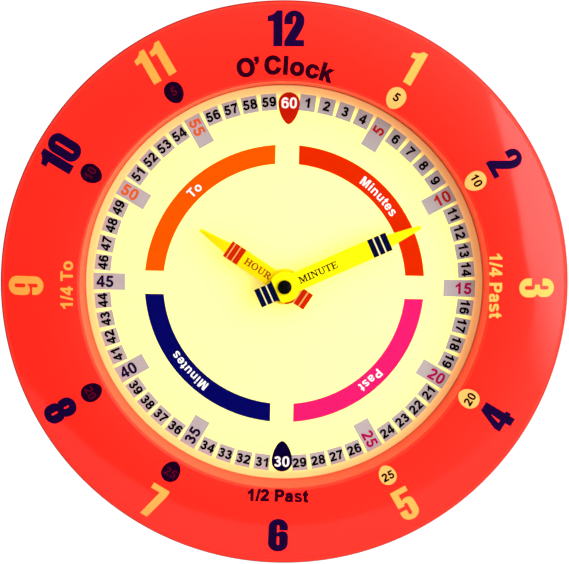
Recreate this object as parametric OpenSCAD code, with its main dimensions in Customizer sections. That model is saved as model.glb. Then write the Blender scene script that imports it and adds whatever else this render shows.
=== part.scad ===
// Teaching wall clock: a wide convex rim around a recessed dial, two pencil-shaped hands, a clear lens,
// a back plate with a keyhole hanger, and a battery quartz movement with its wheel train.
// Front view: X to the right, Z up, the front faces -Y. The wall plane is Y = 0 and the hands turn about the Y axis.
// The modules draw with x to the right, y up and z away from the wall, and place() turns that into the frame above.

/* [Rim] */
// Outside diameter of the rim
rim_diameter = 300; // [300:1:320]
// Distance from the wall to the highest line of the rim
rim_depth = 38.2; // [38:0.1:42]
// Radius of the convex front of the rim, seen in section
rim_crown = 120; // [100:1:160]
// Radius of the circle along which the rim is highest
rim_crest_r = 124; // [120:1:126]
// Radius of the rounded outer edge
rim_edge = 1.5; // [1:0.1:4]
// Thickness of the moulded shell
rim_wall = 2.5; // [1.8:0.1:2.5]
// Radius of the opening at the dial
opening_r = 106.8; // [104:0.1:107]
// How much wider the opening is at the lens
opening_draft = 1.6; // [0:0.1:2]

/* [Dial and lens] */
// Distance from the wall to the printed face
dial_front = 22.5; // [22.4:0.1:23]
// Thickness of the printed sheet
sheet_t = 0.5; // [0.2:0.1:1]
// Open joint between the printed sheet and the wall of the rim
sheet_gap = 0.15; // [0.1:0.05:1.5]
// Clear height between the printed face and the lens
lens_gap = 12.2; // [12.1:0.1:12.6]
// Thickness of the lens
lens_t = 1.2; // [0.8:0.1:1.4]
// Radius of the lens, which snaps in behind the lip of the rim
lens_r = 109.2; // [109:0.1:109.6]

/* [Back plate] */
// Radius of the back plate
plate_r = 146; // [143:0.5:146]
// Thickness of the back plate
plate_t = 2; // [1.6:0.1:2]
// Height of the ribs behind the plate
rib_h = 3; // [1:0.1:3]
// Number of case screws
screw_count = 6; // [4:1:8]
// Radius of the circle of case screws
screw_circle = 138; // [125:1:140]
// Height of the keyhole above the centre
keyhole_y = 90; // [60:1:110]
// Radius of the keyhole's entry, for the head of a wall screw
keyhole_r = 5; // [4:0.1:7]
// Half width of the keyhole's slot, for the neck of a wall screw
keyslot_r = 2.4; // [1.5:0.1:3]

/* [Hands] */
// Minute hand, degrees clockwise from the top
minute_angle = 64.9; // [0:0.1:360]
// Hour hand, degrees clockwise from the top
hour_angle = 303; // [0:0.1:360]
// Length of the minute hand from the centre
minute_length = 79; // [70:0.5:95]
// Length of the hour hand from the centre
hour_length = 54.2; // [45:0.1:75]
// Thickness of the hands
hand_t = 0.8; // [0.4:0.1:1.5]

/* [Movement] */
// Width of the movement
move_w = 56; // [50:1:60]
// Top of the movement above the centre
move_top = 28; // [26:1:32]
// Bottom of the movement below the centre
move_bottom = 30; // [29:1:34]
// Wall of the movement case
move_wall = 1.2; // [1:0.1:2]
// Radius of the battery
cell_r = 7.25; // [7:0.05:7.25]
// Length of the battery with its raised end
cell_l = 50.5; // [49:0.1:50.5]
// Share of the tooth pitch filled by a tooth
tooth_fill = 0.38; // [0.3:0.01:0.45]

/* [Hidden] */
rim_r = rim_diameter / 2;
crown_z = rim_depth - rim_crown;
edge_r = rim_r - rim_edge;
edge_z = crown_z + sqrt(pow(rim_crown - rim_edge, 2) - pow(edge_r - rim_crest_r, 2));
tangent_r = rim_crest_r + (edge_r - rim_crest_r) * rim_crown / (rim_crown - rim_edge);
side_taper = 1.2;
boss_r = 4;
boss_top = crown_z + sqrt(pow(rim_crown, 2) - pow(screw_circle + boss_r - rim_crest_r, 2)) - rim_wall / 2;
lens_back = dial_front + lens_gap;
plate_front = dial_front - sheet_t;
plate_back = plate_front - plate_t;
washer_t = 0.8;
case_front = plate_back - washer_t;
case_in = case_front - move_wall;
cover_back = 2.6;
cover_front = cover_back + move_wall;
half_w = move_w / 2;
bay_top = -12.4;
cell_y = (bay_top - move_bottom + move_wall) / 2;
cell_z = case_in - 0.35 - cell_r;
// wheel levels, measured from the wall
lev_a = cover_front + 0.4;
lev_b = lev_a + 1.6;
lev_c = lev_b + 1.8;
lev_d = lev_c + 1.8;
bridge_z = lev_d + 2;
bridge_t = 1;
lev_e = bridge_z + bridge_t + 0.6;
lev_f = lev_e + 2.2;
wheel_t = 1;
// teeth and modules
n_cannon = 12; n_motion = 36; m_motion = 0.55;
n_mpin = 10; n_hour = 40; m_hour = m_motion * (n_cannon + n_motion) / (n_mpin + n_hour);
n_rotor = 8; n_inter = 48; m_inter = 0.25;
n_ipin = 12; n_second = 60; m_second = 0.25;
n_spin = 8; n_third = 60; m_third = 0.3;
n_tpin = 8; n_centre = 64; m_centre = 0.32;
// arbor positions
motion_dir = 0;
third_dir = 150;
second_dir = 80;
inter_dir = 0;
rotor_dir = -10;
function polar(d, a) = [d * cos(a), d * sin(a)];
motion_at = polar(m_motion * (n_cannon + n_motion) / 2, motion_dir);
third_at = polar(m_centre * (n_tpin + n_centre) / 2, third_dir);
second_at = third_at + polar(m_third * (n_spin + n_third) / 2, second_dir);
inter_at = second_at + polar(m_second * (n_ipin + n_second) / 2, inter_dir);
rotor_at = inter_at + polar(m_inter * (n_rotor + n_inter) / 2, rotor_dir);
// the angle of a tooth of wheel B that meshes with wheel A, whose tooth stands at a0, with B in direction d from A
function mesh_to(d, a0, na, nb) = d + 180 + 180 / nb - (a0 - d) * na / nb;
motion_ph = mesh_to(motion_dir, 0, n_cannon, n_motion);
hour_ph = mesh_to(motion_dir + 180, 0, n_mpin, n_hour);
centre_ph = mesh_to(third_dir + 180, 0, n_tpin, n_centre);
third_ph = mesh_to(second_dir + 180, 0, n_spin, n_third);
second_ph = mesh_to(inter_dir + 180, 0, n_ipin, n_second);
inter_ph = mesh_to(rotor_dir + 180, 0, n_rotor, n_inter);
// running clearance of a shaft in its hole
run = 0.08;
pivot_r = 0.25;
minute_r = 1.75;
hour_r = 2.5;
bush_r = 4;
knob_shaft_r = 1.3;
hour_z = dial_front + 6.5;
minute_z = dial_front + 8.9;
arbor_end = dial_front + 10.7;
coil_y = 23.4;
coil_z = lev_c + 0.8;
coil_x0 = 1.7;
coil_x1 = 23.3;
rotor_r = 3;
$fn = 96;

module place() { rotate([90, 0, 0]) children(); }
module at(p, z) { translate([p[0], p[1], z]) children(); }
module ring(ro, ri, h) { difference() { cylinder(r = ro, h = h); translate([0, 0, -1]) cylinder(r = ri, h = h + 2); } }

// a toothed disc with radial flanks below the pitch circle and tapered tips above it
function tooth(n, m, i, a0) = let (r = n * m / 2, p = 360 / n, h = tooth_fill * p / 2, c = a0 + i * p)
    [polar(r - 1.15 * m, c - h), polar(r, c - h), polar(r + 0.8 * m, c - h * 0.42),
     polar(r + 0.8 * m, c + h * 0.42), polar(r, c + h), polar(r - 1.15 * m, c + h)];
module teeth(n, m, a0, h) {
    linear_extrude(height = h) polygon([for (i = [0:n - 1]) each tooth(n, m, i, a0)]);
}
module wheel(n, m, a0, h, hole) {
    difference() { teeth(n, m, a0, h); translate([0, 0, -1]) cylinder(r = hole, h = h + 2); }
}
// a wheel and a pinion on one arbor with thin pivots at both ends
module arbor_set(nw, mw, phw, zw, np, mp, php, zp) {
    z0 = cover_back + 0.5; z1 = bridge_z + 0.8;
    union() {
        translate([0, 0, z0]) cylinder(r = pivot_r, h = z1 - z0, $fn = 32);
        translate([0, 0, cover_front + 0.15]) cylinder(r = 0.5, h = bridge_z - cover_front - 0.3, $fn = 32);
        translate([0, 0, zw]) teeth(nw, mw, phw, wheel_t);
        translate([0, 0, zp - 0.1]) teeth(np, mp, php, wheel_t + 0.2);
    }
}

module rim_section() {
    union() {
        intersection() {
            translate([rim_crest_r, crown_z]) circle(r = rim_crown, $fn = 360);
            translate([opening_r - 2, 15]) square([tangent_r - opening_r + 2, 40]);
        }
        translate([edge_r, edge_z]) circle(r = rim_edge);
        polygon([[opening_r - 2, 15], [edge_r, 15], [edge_r, edge_z], [tangent_r, edge_z], [tangent_r, edge_z + rim_edge / 2], [opening_r - 2, edge_z + rim_edge / 2]]);
        polygon([[edge_r - 8, 0], [rim_r - side_taper, 0], [rim_r, edge_z], [edge_r - 8, edge_z]]);
    }
}
module rim_ring() {
    side_in = rim_r - rim_wall;
    rotate_extrude($fn = 360) difference() {
        rim_section();
        // hollow behind the front
        difference() {
            intersection() {
                translate([rim_crest_r, crown_z]) circle(r = rim_crown - rim_wall, $fn = 360);
                polygon([[100, -1], [side_in - side_taper, -1], [side_in - side_taper, 0], [side_in, edge_z], [side_in, 60], [100, 60]]);
            }
            translate([opening_r - 3, plate_front]) square([6.8, 30]);
        }
        // opening, with its draft
        polygon([[90, 10], [opening_r, 10], [opening_r, plate_front], [opening_r + opening_draft, lens_back], [opening_r + opening_draft, 60], [90, 60]]);
        // below the inner wall
        translate([90, 10]) square([opening_r + 3.8 - 90, plate_front - 10]);
        // groove of the lens
        translate([90, lens_back]) square([lens_r + 0.2 - 90, lens_t + 0.1]);
    }
}
module front_rim() {
    color([0.86, 0.06, 0.04]) place() difference() {
        union() {
            rim_ring();
            for (i = [0:screw_count - 1]) at(polar(screw_circle, 30 + i * 360 / screw_count), plate_front)
                cylinder(r = boss_r, h = boss_top - plate_front, $fn = 48);
        }
        for (i = [0:screw_count - 1]) at(polar(screw_circle, 30 + i * 360 / screw_count), plate_front - 1)
            cylinder(r = 1.45, h = 11, $fn = 32);
    }
}
module clear_lens() {
    color([0.9, 0.95, 1, 0.25]) place() translate([0, 0, lens_back]) cylinder(r = lens_r, h = lens_t, $fn = 360);
}
module dial_sheet() {
    color([1, 0.98, 0.65]) place() translate([0, 0, plate_front]) ring(opening_r - sheet_gap, bush_r + 0.3, sheet_t);
}
module back_plate() {
    color([0.16, 0.16, 0.17]) place() difference() {
        union() {
            translate([0, 0, plate_back]) cylinder(r = plate_r, h = plate_t, $fn = 360);
            // ribs
            translate([0, 0, plate_back - rib_h]) ring(120, 118, rib_h + 0.5);
            translate([0, 0, plate_back - rib_h]) ring(47, 45, rib_h + 0.5);
            for (a = [0:60:300]) rotate(a) translate([46, -1, plate_back - rib_h]) cube([73, 2, rib_h + 0.5]);
            translate([0, keyhole_y + 3.5, 4]) cylinder(r = 13.5, h = plate_back - 3.5);
        }
        translate([0, 0, plate_back - 1]) cylinder(r = bush_r + 0.3, h = plate_t + 2);
        for (i = [0:screw_count - 1]) at(polar(screw_circle, 30 + i * 360 / screw_count), plate_back - 1)
            cylinder(r = 1.7, h = plate_t + 2, $fn = 32);
        // pocket behind the keyhole
        translate([0, keyhole_y + 3.5, 6.5]) cylinder(r = 11.5, h = plate_back - 6.5);
        translate([0, keyhole_y, 3]) cylinder(r = keyhole_r, h = 5);
        translate([0, keyhole_y + 9, 3]) cylinder(r = keyslot_r, h = 5, $fn = 48);
        translate([-keyslot_r, keyhole_y, 3]) cube([2 * keyslot_r, 9, 5]);
    }
}
module case_screws() {
    color([0.72, 0.72, 0.74]) place() for (i = [0:screw_count - 1]) at(polar(screw_circle, 30 + i * 360 / screw_count), 0)
        difference() {
            union() {
                translate([0, 0, plate_back]) cylinder(r = 1.4, h = 10, $fn = 32);
                translate([0, 0, plate_back - 2]) cylinder(r = 2.9, h = 2, $fn = 32);
            }
            translate([-2, -0.35, plate_back - 3]) cube([4, 0.7, 2]);
            translate([-0.35, -2, plate_back - 3]) cube([0.7, 4, 2]);
        }
}

module movement_case() {
    z0 = cover_front;
    color([0.1, 0.1, 0.11]) place() difference() {
        union() {
            difference() {
                translate([-half_w, -move_bottom, z0]) cube([move_w, move_top + move_bottom, case_front - z0]);
                translate([-half_w + move_wall, bay_top + 1, z0 - 1]) cube([move_w - 2 * move_wall, move_top - move_wall - bay_top - 1, case_in - z0 + 1]);
                translate([-half_w + move_wall, -move_bottom + move_wall, z0 - 1]) cube([move_w - 2 * move_wall, bay_top + move_bottom - move_wall, case_in - z0 + 1]);
            }
            // posts for the bridge and for the circuit board
            for (p = [[24.4, 24.4], [-16.4, 24.4], [24.4, -9], [-16.4, -9]]) at(p, bridge_z + bridge_t)
                cylinder(r = 1.8, h = case_in - bridge_z - bridge_t + 0.2, $fn = 32);
            for (p = [[-23.3, -6], [-23.3, 22]]) at(p, lev_d + 1.4)
                cylinder(r = 1.2, h = case_in - lev_d - 1.2, $fn = 32);
            // cradle of the battery
            for (x = [-17, 15]) translate([x, -move_bottom + move_wall, cell_z + 2]) cube([2, bay_top + move_bottom - move_wall, case_in - cell_z - 1.9]);
        }
        translate([-26, cell_y, cell_z]) rotate([0, 90, 0]) cylinder(r = cell_r + 0.05, h = 52);
        translate([0, 0, case_in - 1]) cylinder(r = bush_r + 0.1, h = 4);
        // thumb notch for taking the battery out
        translate([0, -move_bottom - 1, z0]) rotate([-90, 0, 0]) cylinder(r = 8, h = 3);
    }
}
module movement_rear_cover() {
    color([0.1, 0.1, 0.11]) place() difference() {
        translate([-half_w, bay_top, cover_back]) cube([move_w, move_top - bay_top, move_wall]);
        at(motion_at, cover_back - 1) cylinder(r = knob_shaft_r + run, h = 4, $fn = 48);
        translate([0, 0, cover_back + 0.2]) cylinder(r = 0.6 + run, h = 4, $fn = 32);
        for (p = [third_at, second_at, inter_at, rotor_at]) at(p, cover_back + 0.4) cylinder(r = pivot_r + run, h = 4, $fn = 32);
    }
}
module movement_bridge() {
    color([0.85, 0.85, 0.82]) place() difference() {
        translate([-19, bay_top + 1.1, bridge_z]) cube([half_w - move_wall + 19, move_top - move_wall - bay_top - 1.1, bridge_t]);
        translate([0, 0, bridge_z - 1]) cylinder(r = minute_r + run, h = 4, $fn = 48);
        at(motion_at, bridge_z - 1) cylinder(r = knob_shaft_r + run, h = 4, $fn = 48);
        for (p = [third_at, second_at, inter_at, rotor_at]) at(p, bridge_z - 1) cylinder(r = pivot_r + run, h = 4, $fn = 32);
    }
}
module centre_bush() {
    color([0.78, 0.62, 0.25]) place() difference() {
        union() {
            translate([0, 0, case_in]) cylinder(r = bush_r, h = hour_z - 1.4 - case_in);
            translate([0, 0, case_in - 1.1]) cylinder(r = 6.5, h = 1.1);
        }
        translate([0, 0, case_in - 3]) cylinder(r = hour_r + run, h = 20);
    }
}
module rubber_washer() {
    color([0.05, 0.05, 0.05]) place() translate([0, 0, case_front]) ring(10, bush_r + 0.15, washer_t);
}
module nut_washer() {
    color([0.78, 0.62, 0.25]) place() translate([0, 0, dial_front]) ring(7.6, bush_r + 0.15, 0.6);
}
module bush_nut() {
    color([0.78, 0.62, 0.25]) place() translate([0, 0, dial_front + 0.6]) difference() {
        cylinder(r = 6.6, h = 2.2, $fn = 6);
        translate([0, 0, -1]) cylinder(r = bush_r + 0.05, h = 5);
    }
}

module minute_arbor() {
    color([0.85, 0.7, 0.3]) place() union() {
        translate([0, 0, cover_back + 0.4]) cylinder(r = 0.6, h = lev_d - cover_back, $fn = 32);
        translate([0, 0, lev_d - 0.6]) cylinder(r = minute_r, h = arbor_end - lev_d + 0.6, $fn = 64);
        translate([0, 0, lev_d - 0.6]) cylinder(r = 3, h = 0.5, $fn = 48);
        translate([0, 0, lev_e - 0.1]) teeth(n_cannon, m_motion, 0, 1.4);
    }
}
module clutch_spring() {
    color([0.8, 0.8, 0.78]) place() translate([0, 0, lev_d + wheel_t + 0.05]) ring(3.6, minute_r, 0.3);
}
module hour_wheel() {
    color([0.92, 0.92, 0.88]) place() difference() {
        union() {
            translate([0, 0, lev_f]) teeth(n_hour, m_hour, hour_ph, 1.2);
            translate([0, 0, lev_e + 1.5]) cylinder(r = 3.4, h = lev_f + 1.3 - lev_e - 1.5);
            translate([0, 0, lev_e + 1.5]) cylinder(r = hour_r, h = hour_z + 1.4 - lev_e - 1.5, $fn = 64);
        }
        translate([0, 0, lev_e]) cylinder(r = minute_r + run, h = 30, $fn = 64);
    }
}
module motion_wheel() {
    color([0.92, 0.92, 0.88]) place() at(motion_at, 0) union() {
        translate([0, 0, lev_e]) teeth(n_motion, m_motion, motion_ph, 1.2);
        translate([0, 0, lev_f - 0.1]) teeth(n_mpin, m_hour, 0, 1.4);
        translate([0, 0, lev_e]) cylinder(r = 1.7, h = lev_f - lev_e, $fn = 48);
        translate([0, 0, cover_back - 0.6]) cylinder(r = knob_shaft_r, h = lev_e - cover_back + 0.7, $fn = 48);
    }
}
module setting_knob() {
    color([0.12, 0.12, 0.12]) place() at(motion_at, 0.8) difference() {
        union() {
            cylinder(r = 6.2, h = 1.6);
            for (i = [0:17]) rotate(i * 20) translate([6.2, 0, 0]) cylinder(r = 0.55, h = 1.6, $fn = 16);
        }
        translate([0, 0, 1.2]) cylinder(r = knob_shaft_r, h = 3, $fn = 48);
        translate([0, 0, -1]) ring(4.6, 2.4, 1.5);
    }
}
module centre_wheel() {
    color([0.85, 0.7, 0.3]) place() translate([0, 0, lev_d]) wheel(n_centre, m_centre, centre_ph, wheel_t, minute_r + run);
}
module third_wheel() {
    color([0.92, 0.92, 0.88]) place() at(third_at, 0)
        arbor_set(n_third, m_third, third_ph, lev_c, n_tpin, m_centre, 0, lev_d);
}
module second_wheel() {
    color([0.92, 0.92, 0.88]) place() at(second_at, 0)
        arbor_set(n_second, m_second, second_ph, lev_b, n_spin, m_third, 0, lev_c);
}
module intermediate_wheel() {
    color([0.92, 0.92, 0.88]) place() at(inter_at, 0)
        arbor_set(n_inter, m_inter, inter_ph, lev_a, n_ipin, m_second, 0, lev_b);
}
module rotor_pinion() {
    z0 = cover_back + 0.5; z1 = bridge_z + 0.8;
    color([0.92, 0.92, 0.88]) place() at(rotor_at, 0) union() {
        translate([0, 0, z0]) cylinder(r = pivot_r, h = z1 - z0, $fn = 32);
        translate([0, 0, cover_front + 0.15]) cylinder(r = 0.5, h = bridge_z - cover_front - 0.3, $fn = 32);
        translate([0, 0, lev_a - 0.1]) teeth(n_rotor, m_inter, 0, wheel_t + 0.2);
        translate([0, 0, lev_b]) cylinder(r = 1.2, h = lev_c - lev_b - 0.6, $fn = 48);
    }
}
module rotor_magnet() {
    color([0.3, 0.3, 0.32]) place() at(rotor_at, lev_c - 0.6) ring(rotor_r, 0.5, 2.6);
}
module stator() {
    color([0.6, 0.6, 0.62]) place() translate([0, 0, lev_c + 0.3]) linear_extrude(height = 0.8) difference() {
        union() {
            translate(rotor_at) circle(r = 5);
            translate([0.2, 17.4]) square([5.3, 2.2]);
            translate([0.2, 17.4]) square([1.4, 7.2]);
            translate([rotor_at[0] + 3.6, 12.9]) square([24.8 - rotor_at[0] - 3.6, 3.4]);
            translate([23.4, 12.9]) square([1.4, 11.7]);
        }
        translate(rotor_at) circle(r = rotor_r + 0.45);
    }
}
module coil_core() {
    color([0.6, 0.6, 0.62]) place() translate([0.2, coil_y - 1, lev_c + 1.1]) cube([24.6, 2, 0.8]);
}
module coil_bobbin() {
    color([0.9, 0.9, 0.86]) place() difference() {
        union() {
            translate([coil_x0, coil_y, lev_c + 1.5]) rotate([0, 90, 0]) cylinder(r = 1.6, h = coil_x1 - coil_x0);
            for (x = [coil_x0, coil_x1 - 0.8]) translate([x, coil_y - 2.9, lev_c - 1.3]) cube([0.8, 5.8, 5]);
        }
        translate([0, coil_y - 1, lev_c + 1.1]) cube([26, 2, 0.8]);
    }
}
module coil_winding() {
    color([0.72, 0.36, 0.16]) place() translate([coil_x0 + 0.8, coil_y, lev_c + 1.5]) rotate([0, 90, 0])
        ring(2.2, 1.6, coil_x1 - coil_x0 - 1.6);
}
module circuit_board() {
    color([0.1, 0.4, 0.2]) place() translate([-half_w + move_wall + 0.4, -8, lev_d + 0.4]) cube([6.2, 32, 1]);
}
module control_chip() {
    color([0.06, 0.06, 0.06]) place() translate([-23.3, 4, lev_d - 0.8]) cylinder(r = 2.6, h = 1.2);
}
module crystal_can() {
    color([0.75, 0.75, 0.77]) place() translate([-23.3, 12, lev_d - 0.6]) rotate([-90, 0, 0]) cylinder(r = 1, h = 6, $fn = 48);
}
module positive_contact() {
    x1 = half_w - move_wall;
    color([0.8, 0.8, 0.78]) place() union() {
        translate([x1 - 0.4, cell_y - 5, 6]) cube([0.4, 10, 10]);
        translate([cell_l / 2, cell_y, cell_z]) rotate([0, 90, 0]) cylinder(r = 3, h = x1 - cell_l / 2 - 0.2, $fn = 48);
    }
}
module negative_contact() {
    x0 = -half_w + move_wall; y = cell_y; xe = -cell_l / 2;
    color([0.8, 0.8, 0.78]) place() translate([0, 0, cell_z - 3]) linear_extrude(height = 6)
        polygon([[x0, y - 6.5], [x0 + 0.4, y - 6.5], [x0 + 0.4, y - 3], [xe, y - 0.6], [xe, y + 0.6], [x0 + 0.4, y + 3],
            [x0 + 0.4, y + 6.5], [x0, y + 6.5], [x0, y + 2.6], [xe - 0.5, y + 0.4], [xe - 0.5, y - 0.4], [x0, y - 2.6]]);
}
module battery_cell() {
    color([0.25, 0.27, 0.3]) place() translate([-cell_l / 2, cell_y, cell_z]) rotate([0, 90, 0]) union() {
        cylinder(r = cell_r, h = cell_l - 1);
        cylinder(r = 2.75, h = cell_l, $fn = 64);
    }
}

module hand_shape(hub, half, band, tip_half, tip_r, tail, length) {
    union() {
        circle(r = hub);
        translate([-half, -tail]) square([2 * half, tail + band]);
        polygon([[-tip_half, band - 0.5], [tip_half, band - 0.5], [tip_half, band], [tip_r, length - tip_r], [-tip_r, length - tip_r], [-tip_half, band]]);
        translate([0, length - tip_r]) circle(r = tip_r, $fn = 32);
    }
}
module hour_hand() {
    color([1, 0.86, 0.02]) place() rotate(-hour_angle) translate([0, 0, hour_z]) linear_extrude(height = hand_t) difference() {
        hand_shape(9.6, 4.85, 36.4, 3.2, 1, 15.3, hour_length);
        circle(r = hour_r + 0.02, $fn = 64);
    }
}
module minute_hand() {
    color([1, 0.9, 0.02]) place() rotate(-minute_angle) translate([0, 0, minute_z]) linear_extrude(height = hand_t) difference() {
        hand_shape(8.2, 5.2, 60.5, 3.25, 1.1, 15.5, minute_length);
        circle(r = minute_r + 0.02, $fn = 64);
    }
}
module hand_cap() {
    color([0.03, 0.03, 0.03]) place() translate([0, 0, minute_z + hand_t]) difference() {
        rotate_extrude() intersection() {
            square([3.7, 2]);
            translate([0, -6.8]) circle(r = 8.8);
        }
        translate([0, 0, -1]) cylinder(r = minute_r + 0.02, h = arbor_end - minute_z - hand_t + 1, $fn = 64);
    }
}

front_rim();
clear_lens();
dial_sheet();
back_plate();
case_screws();
movement_case();
movement_rear_cover();
movement_bridge();
centre_bush();
bush_nut();
nut_washer();
rubber_washer();
minute_arbor();
clutch_spring();
hour_wheel();
motion_wheel();
setting_knob();
centre_wheel();
third_wheel();
second_wheel();
intermediate_wheel();
rotor_pinion();
rotor_magnet();
stator();
coil_core();
coil_bobbin();
coil_winding();
circuit_board();
control_chip();
crystal_can();
positive_contact();
negative_contact();
battery_cell();
hour_hand();
minute_hand();
hand_cap();
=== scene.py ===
import math
import bpy
import bmesh
from mathutils import Matrix, Vector
from mathutils.geometry import delaunay_2d_cdt

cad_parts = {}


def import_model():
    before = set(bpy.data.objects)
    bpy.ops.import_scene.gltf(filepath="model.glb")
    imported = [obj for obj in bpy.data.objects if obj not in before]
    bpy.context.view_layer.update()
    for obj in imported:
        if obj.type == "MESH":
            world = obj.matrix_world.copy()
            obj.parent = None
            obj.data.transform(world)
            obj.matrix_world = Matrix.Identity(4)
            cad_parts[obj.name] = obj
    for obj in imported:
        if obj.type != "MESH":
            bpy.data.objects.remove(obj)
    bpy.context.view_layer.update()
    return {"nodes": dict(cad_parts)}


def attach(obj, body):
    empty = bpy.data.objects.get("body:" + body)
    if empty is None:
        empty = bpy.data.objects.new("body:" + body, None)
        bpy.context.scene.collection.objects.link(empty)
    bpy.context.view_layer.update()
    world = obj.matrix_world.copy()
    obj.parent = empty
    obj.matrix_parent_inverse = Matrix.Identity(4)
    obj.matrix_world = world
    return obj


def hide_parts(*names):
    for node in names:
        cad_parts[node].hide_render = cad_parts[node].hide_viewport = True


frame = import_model()
nodes = frame["nodes"]
scene = bpy.context.scene
scene.view_settings.view_transform = "Standard"

# Sizes below are in millimetres: x to the right, z up, f away from the wall (f = -Y).
MM = 0.001
CROWN, CREST_R, DEPTH, EDGE, RIM_R, WALL = 120.0, 124.0, 38.2, 1.5, 150.0, 2.5
CROWN_F = DEPTH - CROWN
EDGE_R = RIM_R - EDGE
EDGE_F = CROWN_F + math.sqrt((CROWN - EDGE) ** 2 - (EDGE_R - CREST_R) ** 2)
TANGENT = math.degrees(math.atan2(EDGE_F - CROWN_F, EDGE_R - CREST_R))
OPEN_R, OPEN_TOP_R, PLATE_F, DIAL_F, SEAT_F, LENS_R, LENS_T = 106.8, 108.4, 22.0, 22.5, 34.7, 109.2, 1.2
MINUTE_A, HOUR_A = 64.9, 303.0
HOUR_F, MINUTE_F, HAND_T = 29.0, 31.4, 0.8


def world(x, z, f):
    return Vector((x * MM, -f * MM, z * MM))


def rim_front(x, z):
    r = min(math.hypot(x, z), RIM_R - 0.01)
    if r < CREST_R + CROWN * math.cos(math.radians(TANGENT)):
        return CROWN_F + math.sqrt(CROWN ** 2 - (r - CREST_R) ** 2)
    return EDGE_F + math.sqrt(EDGE ** 2 - (r - EDGE_R) ** 2)


# ---------------------------------------------------------------- plane shapes
def arc(cx, cy, rx, ry, a0, a1, n=12):
    return [(cx + rx * math.cos(math.radians(a0 + (a1 - a0) * i / n)), cy + ry * math.sin(math.radians(a0 + (a1 - a0) * i / n))) for i in range(n + 1)]


def rect(x0, y0, x1, y1):
    return [(x0, y0), (x1, y0), (x1, y1), (x0, y1)]


def sup(cx, cy, rx, ry, k=2.35, n=40):
    """Closed curve between an ellipse and a box."""
    out = []
    for i in range(n):
        c, s = math.cos(2 * math.pi * i / n), math.sin(2 * math.pi * i / n)
        out.append((cx + rx * math.copysign(abs(c) ** (2 / k), c), cy + ry * math.copysign(abs(s) ** (2 / k), s)))
    return out


def stroke(pts, w):
    """A line of points drawn with a pen of width w."""
    left, right = [], []
    for i, p in enumerate(pts):
        a, b = pts[max(i - 1, 0)], pts[min(i + 1, len(pts) - 1)]
        dx, dy = b[0] - a[0], b[1] - a[1]
        d = math.hypot(dx, dy)
        nx, ny = -dy / d * w / 2, dx / d * w / 2
        left.append((p[0] + nx, p[1] + ny))
        right.append((p[0] - nx, p[1] - ny))
    return left + right[::-1]


def turn_about(shapes, cx, cy):
    return [(s, [(2 * cx - x, 2 * cy - y) for x, y in p]) for s, p in shapes]


def moved(shapes, ox, oy, ux, uy, sx=1.0, sy=None):
    """Shapes placed at (ox, oy) with their right-hand direction along (ux, uy)."""
    sy = sx if sy is None else sy
    return [(s, [(ox + ux * x * sx - uy * y * sy, oy + uy * x * sx + ux * y * sy) for x, y in p]) for s, p in shapes]


def area(p):
    return sum(p[i - 1][0] * p[i][1] - p[i][0] * p[i - 1][1] for i in range(len(p))) / 2


def region(shapes, grid=0.0):
    """Triangles of the area painted by the shapes in turn: "+" fills and "-" clears. A grid adds points for bending it."""
    verts, edges, faces = [], [], []
    for _, p in shapes:
        q = [v for i, v in enumerate(p) if math.dist(v, p[i - 1]) > 1e-6]
        q = q if area(q) > 0 else q[::-1]
        faces.append(list(range(len(verts), len(verts) + len(q))))
        verts += q
    if grid:
        xs, ys = [v[0] for v in verts], [v[1] for v in verts]
        x0, x1, y0, y1 = min(xs) - 0.37 * grid, max(xs) + grid, min(ys) - 0.41 * grid, max(ys) + grid
        nx, ny = int((x1 - x0) / grid) + 1, int((y1 - y0) / grid) + 1
        for i in range(nx):
            edges.append((len(verts), len(verts) + 1))
            verts += [(x0 + i * grid, y0), (x0 + i * grid, y1)]
        for i in range(ny):
            edges.append((len(verts), len(verts) + 1))
            verts += [(x0, y0 + i * grid), (x1, y0 + i * grid)]
    v, _, f, _, _, orig = delaunay_2d_cdt([Vector(p) for p in verts], edges, faces, 0, 1e-6, True)
    keep = []
    for tri, ids in zip(f, orig):
        ids = [k for k in ids if k < len(shapes)]
        if ids and shapes[max(ids)][0] == "+":
            a, b, c = (v[k] for k in tri)
            if (b - a).cross(c - a) > 1e-9:
                keep.append(tuple(tri))
    return [(p.x, p.y) for p in v], keep


def rim_edges(tris):
    seen = {}
    for t in tris:
        for i in range(3):
            seen[(t[i], t[(i + 1) % 3])] = True
    return [e for e in seen if (e[1], e[0]) not in seen]


def outlines(shapes):
    verts, tris = region(shapes)
    nxt = dict(rim_edges(tris))
    loops = []
    while nxt:
        a, b = nxt.popitem()
        loop = [a]
        while b != a:
            loop.append(b)
            b = nxt.pop(b)
        loops.append([verts[k] for k in loop])
    return loops


def inset(loop, d):
    out = []
    for i, p in enumerate(loop):
        a, b = loop[i - 1], loop[(i + 1) % len(loop)]
        u = Vector((p[0] - a[0], p[1] - a[1])).normalized()
        w = Vector((b[0] - p[0], b[1] - p[1])).normalized()
        n = Vector((-u.y - w.y, u.x + w.x))
        n *= d / max(0.35, 1 + u.dot(w)) if n.length > 1e-6 else 0
        out.append((p[0] + n.x, p[1] + n.y))
    return out


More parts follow.
